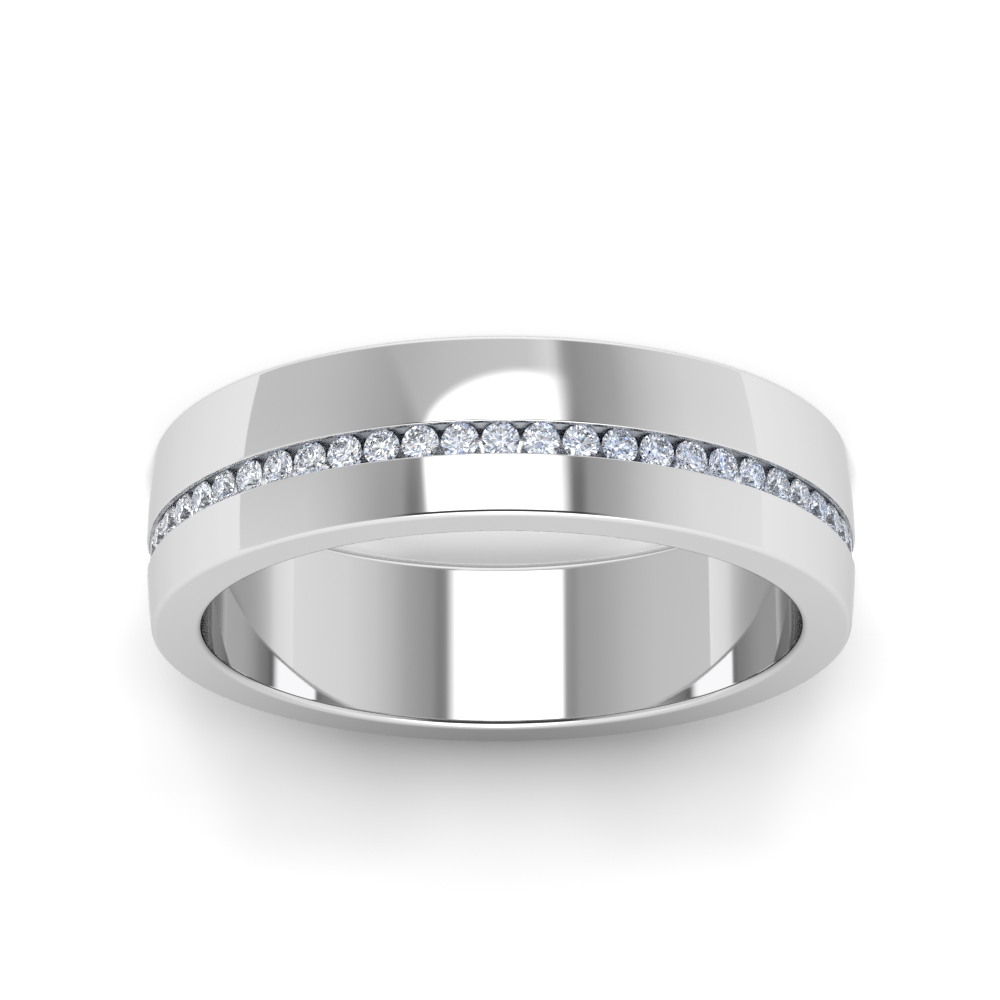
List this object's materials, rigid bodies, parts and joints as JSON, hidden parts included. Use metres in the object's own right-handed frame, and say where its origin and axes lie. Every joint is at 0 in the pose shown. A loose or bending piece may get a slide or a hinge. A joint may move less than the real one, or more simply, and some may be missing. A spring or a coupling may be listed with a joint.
{
  "type": "channel set band ring",
  "caption": "Finger ring: softly domed polished metal band with an off-centre channel of small round brilliants running half way round.",
  "frame": {"origin": "middle of the ring's footprint, on the face that the ring rests on", "axes": "+Z along the ring's axis, up from the side face that it lies on; the middle of the row of stones faces -Y; the row starts at -X with stone_01"},
  "size_m": [0.0206, 0.0206, 0.0053],
  "materials": {
    "white_metal": "high polish",
    "clear_stone": "faceted and polished"
  },
  "bodies": {
    "root": {"band": "white_metal", "stone_01": "clear_stone", "stone_02": "clear_stone", "stone_03": "clear_stone", "stone_04": "clear_stone", "stone_05": "clear_stone", "stone_06": "clear_stone", "stone_07": "clear_stone", "stone_08": "clear_stone", "stone_09": "clear_stone", "stone_10": "clear_stone", "stone_11": "clear_stone", "stone_12": "clear_stone", "stone_13": "clear_stone", "stone_14": "clear_stone", "stone_15": "clear_stone", "stone_16": "clear_stone", "stone_17": "clear_stone", "stone_18": "clear_stone", "stone_19": "clear_stone", "stone_20": "clear_stone", "stone_21": "clear_stone", "stone_22": "clear_stone", "stone_23": "clear_stone", "stone_24": "clear_stone", "stone_25": "clear_stone", "stone_26": "clear_stone", "stone_27": "clear_stone", "stone_28": "clear_stone", "stone_29": "clear_stone"}
  },
  "joints": []
}
